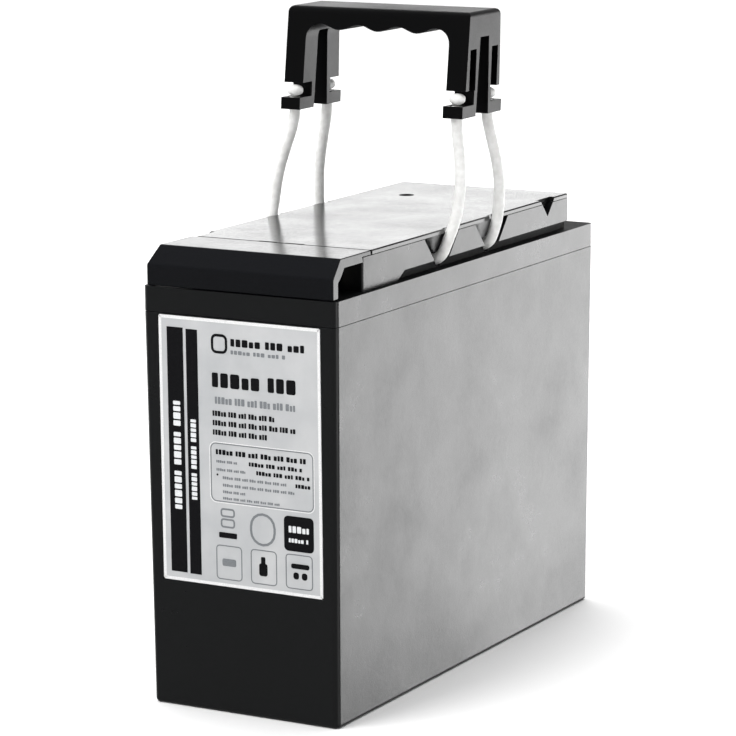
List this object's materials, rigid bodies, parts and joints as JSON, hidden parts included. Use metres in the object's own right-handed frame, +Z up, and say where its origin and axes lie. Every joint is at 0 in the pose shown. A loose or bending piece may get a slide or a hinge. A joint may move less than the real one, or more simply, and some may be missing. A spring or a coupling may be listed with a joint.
{
  "type": "deep cycle battery",
  "caption": "Tall narrow black sealed lead-acid battery with a snap-off cover over its front bolt terminals, a plain front label, and a moulded lifting handle hung on white ropes.",
  "frame": {"origin": "middle of the case's underside", "axes": "+Z up, -Y towards the front end with the label and the terminals, +X to the right seen from the front"},
  "size_m": [0.1098, 0.278, 0.3285],
  "materials": {
    "case_black": "gloss",
    "lid_black": "gloss",
    "plate_black": "gloss",
    "cover_black": "gloss",
    "handle_black": "satin",
    "rope_white": "matte",
    "label_silver": "satin",
    "lead": "satin",
    "positive_paste": "matte",
    "negative_paste": "matte",
    "glass_mat": "matte",
    "valve_rubber": "matte",
    "positive_mark": "satin",
    "negative_mark": "satin",
    "tinned_brass": "satin",
    "steel": "satin",
    "vent_grey": "matte",
    "sintered": "matte"
  },
  "bodies": {
    "root": {"case": "case_black", "front_label": "label_silver", "lid": "lid_black", "top_plate": "plate_black", "vent_plug": "vent_grey", "flame_arrestor": "sintered", "valve_cap_1": "valve_rubber", "valve_cap_2": "valve_rubber", "valve_cap_3": "valve_rubber", "valve_cap_4": "valve_rubber", "valve_cap_5": "valve_rubber", "valve_cap_6": "valve_rubber", "positive_terminal": "tinned_brass", "positive_washer": "steel", "positive_seal": "positive_mark", "negative_terminal": "tinned_brass", "negative_washer": "steel", "negative_seal": "negative_mark", "cell_1_positive_plates": "positive_paste", "cell_1_negative_plates": "negative_paste", "cell_1_separator_mat": "glass_mat", "cell_2_positive_plates": "positive_paste", "cell_2_negative_plates": "negative_paste", "cell_2_separator_mat": "glass_mat", "cell_3_positive_plates": "positive_paste", "cell_3_negative_plates": "negative_paste", "cell_3_separator_mat": "glass_mat", "cell_4_positive_plates": "positive_paste", "cell_4_negative_plates": "negative_paste", "cell_4_separator_mat": "glass_mat", "cell_5_positive_plates": "positive_paste", "cell_5_negative_plates": "negative_paste", "cell_5_separator_mat": "glass_mat", "cell_6_positive_plates": "positive_paste", "cell_6_negative_plates": "negative_paste", "cell_6_separator_mat": "glass_mat", "intercell_link_1": "lead", "intercell_link_2": "lead", "intercell_link_3": "lead", "intercell_link_4": "lead", "intercell_link_5": "lead", "front_rope": "rope_white", "back_rope": "rope_white"},
    "handle": {"handle": "handle_black", "front_left_rope_stop": "rope_white", "front_right_rope_stop": "rope_white", "back_left_rope_stop": "rope_white", "back_right_rope_stop": "rope_white"},
    "terminal_cover": {"terminal_cover": "cover_black"},
    "positive_bolt": {"positive_bolt": "steel"},
    "negative_bolt": {"negative_bolt": "steel"}
  },
  "joints": [
    {"name": "handle_drop", "type": "slide", "parent": "root", "child": "handle", "axis": [0, 0, 1], "range_m": [-0.05, 0], "deforming": ["front_rope", "back_rope"]},
    {"name": "cover_lift", "type": "slide", "parent": "root", "child": "terminal_cover", "axis": [0, 0, 1], "range_m": [0, 0.03]},
    {"name": "positive_bolt_turn", "type": "hinge", "parent": "root", "child": "positive_bolt", "pos_m": [-0.03, -0.122, 0.2135], "axis": [0, 1, 0], "continuous": true},
    {"name": "negative_bolt_turn", "type": "hinge", "parent": "root", "child": "negative_bolt", "pos_m": [0.03, -0.122, 0.2135], "axis": [0, 1, 0], "continuous": true}
  ]
}
